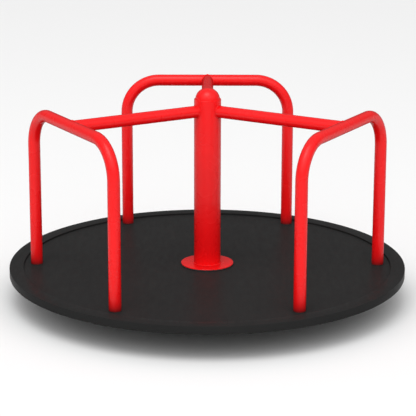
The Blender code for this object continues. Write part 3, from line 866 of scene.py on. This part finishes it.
def make_leg_plugs():
    """The tapped plugs in the legs' ends."""
    for index, (x, y) in enumerate(leg_places(), start=1):
        low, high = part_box(f"leg_plug_{index}")
        outline = ring_outline(PLUG_BORE, PIPE_RADIUS - PIPE_WALL - LOOSE_GAP, low.z, high.z)
        plug = shifted(turned(eased(outline, radius=0.0008), SMALL_FACETS), x, y)
        add_piece(f"leg_nut_plug_{index}", plug, "zinc_steel", "turntable", f"leg_plug_{index}")


# Base and spindle.


def anchor_places():
    """Each anchor stud's (x, y) place."""
    for index in range(6):
        angle = math.radians(30 + 60 * index)
        yield ANCHOR_CIRCLE * math.cos(angle), ANCHOR_CIRCLE * math.sin(angle)


def make_base():
    """The base plate with its anchor holes, and the weld round the spindle's foot."""
    outlines = [circle(BASE_RADIUS, BASE_TOP, BASE_FACETS)]
    outlines += [circle(ANCHOR_HOLE, BASE_TOP, 32, place) for place in anchor_places()]
    plate = rounded_edges(drilled_plate(outlines, BASE_TOP), 0.0012)
    add_piece("ground_plate", plate, "black_paint", "ground_base", "base_plate")
    route = circle(SPINDLE_FOOT + 0.0010, BASE_TOP + 0.0010, BEAD_STEPS)
    add_weld("spindle_foot_weld", bead(route, radius=0.0036), "black_paint", "ground_base")


def make_gusset_welds():
    """Both sides of each gusset are welded to the base plate and to the spindle's foot."""
    low, high = BASE_TOP + 0.005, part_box("gusset_1")[1].z - 0.002
    near, far = SPINDLE_FOOT + 0.006, GUSSET_REACH - 0.002
    x, height = SPINDLE_FOOT + BEAD_OFF, BASE_TOP + BEAD_OFF
    for index in range(4):
        beads = []
        for side in (-1, 1):
            y = side * (GUSSET_HALF + BEAD_OFF)
            along, upright = line((near, y, height), (far, y, height)), line((x, y, low), (x, y, high))
            beads.append(bead(along, radius=0.0030, closed=False, ease=0.006))
            beads.append(bead(upright, radius=0.0026, closed=False, ease=0.006))
        add_weld(f"gusset_{index + 1}_welds", merged(*beads), "black_paint", "ground_base", 90 * index)


def make_anchors():
    """M16 studs with a round washer and a chamfered nut."""
    for index, (x, y) in enumerate(anchor_places(), start=1):
        low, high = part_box(f"anchor_bolt_{index}")
        washer = BASE_TOP + FIT_GAP
        nut = washer + WASHER_THICKNESS
        parts = [
            thread(ANCHOR_THREAD, ANCHOR_PITCH, low.z, high.z),
            turned(eased(ring_outline(ANCHOR_THREAD, WASHER_RADIUS, washer, nut), radius=0.0005), 64),
            hexagon(ANCHOR_FLATS, nut, nut + ANCHOR_NUT_HEIGHT, bore=ANCHOR_THREAD - 0.0008),
        ]
        stud = shifted(merged(*parts), x, y)
        add_piece(f"anchor_stud_{index}", stud, "zinc_steel", "ground_base", f"anchor_bolt_{index}")


def make_spindle():
    """The stepped shaft with ground journals and a relief groove, its fine thread, and the nut on it."""
    lower_seat = LOWER_CONE[0].z - FIT_GAP
    thread_start = UPPER_CONE[1].z - 0.001
    groove = LOWER_JOURNAL - 0.0008
    core = 0.002
    outline = [
        (SPINDLE_FOOT, SPINDLE_BOTTOM),
        (SPINDLE_FOOT, lower_seat),
        (groove, lower_seat),
        (groove, lower_seat + 0.0018),
        (LOWER_JOURNAL, lower_seat + 0.0026),
        (LOWER_JOURNAL, SPINDLE_SHOULDER),
        (UPPER_JOURNAL, SPINDLE_SHOULDER),
        (UPPER_JOURNAL, thread_start),
        (core, thread_start),
        (core, SPINDLE_BOTTOM),
    ]
    shaft = turned(eased(outline, radius=0.0007), ROUND_FACETS)
    end = thread(SPINDLE_THREAD, SPINDLE_PITCH, thread_start - 0.001, SPINDLE_TOP, ROUND_FACETS)
    add_piece("spindle_shaft", merged(shaft, end), "zinc_steel", "ground_base", "spindle")
    low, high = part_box("spindle_nut")
    nut = hexagon(SPINDLE_NUT_FLATS, low.z, high.z, bore=SPINDLE_THREAD + 0.0001)
    add_piece("spindle_hex_nut", nut, "zinc_steel", "ground_base", "spindle_nut")


def ring_piece(name, outline, finish, body, node, edge):
    """A turned ring that stands for one CAD node, with its edges rounded."""
    add_piece(name, turned(eased(outline, edge), ROUND_FACETS), finish, body, node)


def make_rings():
    """The plain turned rings: washer, clip, seal and the upper bearing's housing."""
    for name, node, bore, body in (
        ("lock_washer", "tab_washer", SPINDLE_THREAD + FIT_GAP, "ground_base"),
        ("cup_retainer", "cup_clip", CLIP_BORE, "turntable"),
    ):
        low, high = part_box(node)
        ring_piece(name, ring_outline(bore, high.x, low.z, high.z), "zinc_steel", body, node, edge=0.0004)
    low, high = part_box("grease_seal")
    lip = SPINDLE_FOOT + 0.0008
    outline = [
        (lip, low.z),
        (lip + 0.0020, low.z + 0.0018),
        (lip + 0.0045, low.z),
        (high.x, low.z),
        (high.x, high.z),
        (lip, high.z),
        (lip + 0.0018, (low.z + high.z) / 2),
    ]
    ring_piece("lip_seal", outline, "seal_rubber", "turntable", "grease_seal", edge=0.0004)
    low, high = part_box("upper_housing")
    cup_low, cup_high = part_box("upper_bearing_cup")
    seat, shoulder = cup_high.x + FIT_GAP, cup_low.z - FIT_GAP
    outline = [
        (high.x, low.z),
        (high.x, high.z),
        (seat, high.z),
        (seat, shoulder),
        (HOUSING_THROAT, shoulder),
        (HOUSING_THROAT, low.z),
    ]
    ring_piece("bearing_housing", outline, "zinc_steel", "turntable", "upper_housing", edge=0.0008)


def make_bearing(place, roller, widens_down):
    """A taper roller bearing: cone, cup, and tapered rollers in a cage of bars between two rims."""
    cone_low, cone_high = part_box(f"{place}_bearing_cone")
    cup_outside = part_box(f"{place}_bearing_cup")[1].x
    set_low, set_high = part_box(f"{place}_roller_set")
    bore = (LOWER_JOURNAL if place == "lower" else UPPER_JOURNAL) + FIT_GAP

    # The rollers' axes lean: lean is how far one end of an axis is out from its middle.
    lean = TAPER * (set_high.z - set_low.z) * (1 if widens_down else -1)
    middle = set_high.x - roller / 2 - abs(lean)
    bottom, top = cone_low.z, cone_high.z
    full_lean = lean * (top - bottom) / (set_high.z - set_low.z)
    low_pitch, high_pitch = middle + full_lean, middle - full_lean
    running_gap = 0.0005
    space = (roller / 2 + running_gap) * math.hypot(1.0, 2 * TAPER)
    cone = [(bore, bottom), (low_pitch - space, bottom), (high_pitch - space, top), (bore, top)]
    cone_node = f"{place}_bearing_cone"
    ring_piece(f"{place}_cone_race", cone, "bearing_steel", "ground_base", cone_node, edge=0.0008)
    cup = [
        (low_pitch + space, bottom),
        (cup_outside, bottom),
        (cup_outside, top),
        (high_pitch + space, top),
    ]
    cup_node = f"{place}_bearing_cup"
    ring_piece(f"{place}_cup_race", cup, "bearing_steel", "turntable", cup_node, edge=0.0008)

    start = Vector((middle + lean, 0.0, set_low.z))
    end = Vector((middle - lean, 0.0, set_high.z))
    axis = end - start
    end_gaps = 0.0046
    half_length = (axis.length - end_gaps) / 2
    wide, narrow = roller / 2, roller / 2 - 0.0004
    low_radius, high_radius = (wide, narrow) if widens_down else (narrow, wide)
    core = 0.0005
    outline = [
        (core, -half_length),
        (low_radius, -half_length),
        (high_radius, half_length),
        (core, half_length),
    ]
    upright = axis.to_track_quat("Z", "Y").to_matrix().to_4x4()
    parts = []
    for index in range(ROLLER_COUNT):
        around = Matrix.Rotation(TAU * index / ROLLER_COUNT, 4, "Z")
        one = turned(eased(outline, radius=0.0004, steps=2), 32)
        one.transform(around @ Matrix.Translation((start + end) / 2) @ upright)
        parts.append(one)
        between = Matrix.Rotation(TAU * (index + 0.5) / ROLLER_COUNT, 4, "Z")
        bar, ends = swept([start.lerp(end, 0.04), start.lerp(end, 0.96)], [CAGE_BAR, CAGE_BAR], 10)
        bar.faces.new(ends[0])
        bar.faces.new(ends[-1])
        bar.transform(between)
        parts.append(bar)
    half = roller / 2 - 0.0012
    for pitch, low in ((middle + lean, set_low.z), (middle - lean, set_high.z - CAGE_RIM)):
        rim = ring_outline(pitch - half, pitch + half, low, low + CAGE_RIM)
        parts.append(turned(eased(rim, radius=0.0004), ROUND_FACETS))
    rollers, body, node = merged(*parts), f"{place}_rollers", f"{place}_roller_set"
    add_piece(f"{place}_caged_rollers", rollers, "bearing_steel", body, node)


def soften(*nodes):
    """Rounds the edges of CAD nodes that are shown as they are."""
    for node in nodes:
        obj = frame["nodes"][node]
        merge = obj.modifiers.new("merge", "WELD")
        merge.merge_threshold = 0.00002
        edges = obj.modifiers.new("edges", "BEVEL")
        edges.width = 0.0007
        edges.segments = 2
        edges.limit_method = "ANGLE"
        edges.angle_limit = math.radians(35)
        edges.harden_normals = False


make_rim()
make_deck()
make_leg_collars()
make_rails()
make_column()
make_cap()
make_arms()
make_hub()
make_stringer_welds()
make_leg_bolts()
make_leg_plugs()
make_base()
make_gusset_welds()
make_anchors()
make_spindle()
make_rings()
make_bearing("lower", LOWER_ROLLER, True)
make_bearing("upper", UPPER_ROLLER, False)
soften(*(f"deck_stringer_{index}" for index in range(1, 7)))
soften(*(f"gusset_{index}" for index in range(1, 5)))

# CAD nodes that stay as they are get their finish.
SLOTS = {row["node"]: row["material_slot"] for row in frame["record"]["subparts"]}
for node, obj in frame["nodes"].items():
    obj.data.materials.clear()
    obj.data.materials.append(MATERIALS[SLOTS[node]])


# Floor, light and camera.

# Brightness of the studio's dome: everywhere, and added overhead, high in front and at the sides.
LIGHT_ALL_ROUND = 0.08
LIGHT_OVERHEAD = 0.72
LIGHT_FRONT = 2.72
LIGHT_SIDES = 0.17
# A thin bright band hides the floor's horizon in low views. Its height is the sine of its top's elevation.
LIGHT_HORIZON = 0.62
HORIZON_HEIGHT = 0.16
# A large softbox high above the front adds soft highlights and firms up the shadow.
SOFTBOX_SIZE = 6.8
SOFTBOX_PLACE = (-1.2, -4.4, 11.1)
SOFTBOX_POWER = 400.0
# The floor reaches far enough to meet the horizon, and lies just below the base.
FLOOR_REACH = 200.0
FLOOR_DROP = 0.0005
FLOOR_GREY = 0.835


def make_floor():
    """A plain matt floor, which isn't part of the object."""
    bm = bmesh.new()
    bmesh.ops.create_grid(bm, x_segments=1, y_segments=1, size=FLOOR_REACH)
    mesh = bpy.data.meshes.new("studio_floor")
    bm.to_mesh(mesh)
    bm.free()
    material = bpy.data.materials.new("studio_floor")
    material.use_nodes = True
    shader = material.node_tree.nodes["Principled BSDF"]
    shader.inputs["Base Color"].default_value = (FLOOR_GREY, FLOOR_GREY, FLOOR_GREY, 1.0)
    shader.inputs["Roughness"].default_value = 0.9
    shader.inputs["Specular IOR Level"].default_value = 0.0
    mesh.materials.append(material)
    floor = bpy.data.objects.new("studio_floor", mesh)
    floor.location.z = -FLOOR_DROP
    bpy.context.scene.collection.objects.link(floor)


def make_light():
    """A soft white dome: brighter overhead, high in front, towards both sides and at the horizon."""
    world = bpy.data.worlds.new("studio")
    bpy.context.scene.world = world
    world.use_nodes = True
    tree = world.node_tree
    background = tree.nodes["Background"]
    background.inputs["Color"].default_value = (1.0, 1.0, 1.0, 1.0)
    place = tree.nodes.new("ShaderNodeTexCoord")
    split = tree.nodes.new("ShaderNodeSeparateXYZ")
    tree.links.new(place.outputs["Generated"], split.inputs[0])

    def maths(operation, *values):
        return math_node(tree, operation, *values)

    across, back, up = split.outputs["X"], split.outputs["Y"], split.outputs["Z"]
    front_high = maths("MULTIPLY", maths("MAXIMUM", maths("MULTIPLY", back, -1.0), 0.0), up)
    strength = maths("MULTIPLY_ADD", up, LIGHT_OVERHEAD, LIGHT_ALL_ROUND)
    strength = maths("MULTIPLY_ADD", front_high, LIGHT_FRONT, strength)
    strength = maths("MULTIPLY_ADD", maths("ABSOLUTE", across), LIGHT_SIDES, strength)
    level = maths("MULTIPLY_ADD", maths("ABSOLUTE", up), -1.0 / HORIZON_HEIGHT, 1.0)
    band = maths("POWER", maths("MAXIMUM", level, 0.0), 2.0)
    strength = maths("MULTIPLY_ADD", band, LIGHT_HORIZON, strength)
    tree.links.new(strength, background.inputs["Strength"])


def make_softbox():
    """The square softbox, turned towards the origin."""
    data = bpy.data.lights.new("softbox", "AREA")
    data.shape = "SQUARE"
    data.size = SOFTBOX_SIZE
    data.energy = SOFTBOX_POWER
    softbox = bpy.data.objects.new("softbox", data)
    place = Vector(SOFTBOX_PLACE)
    aim = (-place).to_track_quat("-Z", "Y").to_matrix().to_4x4()
    softbox.matrix_world = Matrix.Translation(place) @ aim
    bpy.context.scene.collection.objects.link(softbox)


def make_camera():
    """The camera stands in front, about 17 degrees above the rim's middle, and aims a little over it."""
    distance, elevation = 8.4179, math.radians(17.146)
    aside = -0.0114
    pitch, yaw, roll = math.radians(15.4656), math.radians(0.1024), math.radians(0.1458)
    data = bpy.data.cameras.new("camera")
    data.sensor_width = 36.0
    data.lens = 159.14
    camera = bpy.data.objects.new("camera", data)
    bpy.context.scene.collection.objects.link(camera)
    ahead = Vector((math.sin(yaw) * math.cos(pitch), math.cos(yaw) * math.cos(pitch), -math.sin(pitch)))
    level = Vector((math.cos(yaw), -math.sin(yaw), 0.0))
    above = level.cross(ahead)
    right = level * math.cos(roll) + above * math.sin(roll)
    up = above * math.cos(roll) - level * math.sin(roll)
    turn = Matrix((right, up, -ahead)).transposed()
    place = Vector((aside, -distance * math.cos(elevation), RIM_TOP + distance * math.sin(elevation)))
    camera.matrix_world = Matrix.Translation(place) @ turn.to_4x4()
    bpy.context.scene.camera = camera


make_floor()
make_light()
make_softbox()
make_camera()
bpy.context.scene.view_settings.view_transform = "Standard"
